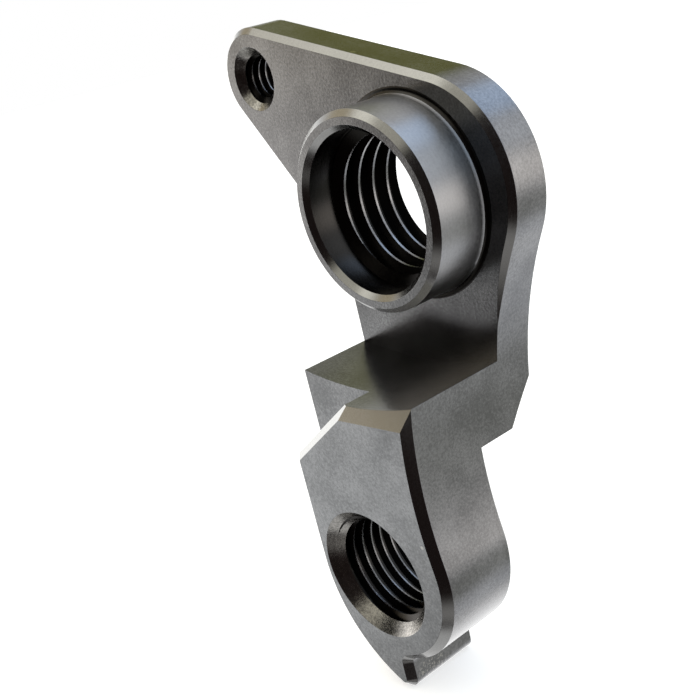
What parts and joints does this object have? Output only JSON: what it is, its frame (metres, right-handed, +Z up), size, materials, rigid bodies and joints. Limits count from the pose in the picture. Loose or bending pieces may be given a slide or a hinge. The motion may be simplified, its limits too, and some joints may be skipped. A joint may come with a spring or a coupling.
{
  "type": "bicycle derailleur hanger",
  "caption": "One-piece machined aluminium derailleur hanger with a threaded boss for a through-axle, a threaded foot for the derailleur and a stop for its tension screw.",
  "frame": {"origin": "on the axle thread's axis, at the plate's wheel-side face", "axes": "+Z up along the strut's straight edge, +Y through the thickness towards the derailleur (away from the wheel), +X towards the stop's face and the hollow edge; the boss points to -Y"},
  "size_m": [0.0293, 0.0139, 0.0525],
  "materials": {
    "anodised_aluminium": "bead-blasted and dark anodised, fine grain, satin"
  },
  "bodies": {
    "root": {"hanger": "anodised_aluminium"}
  },
  "joints": []
}
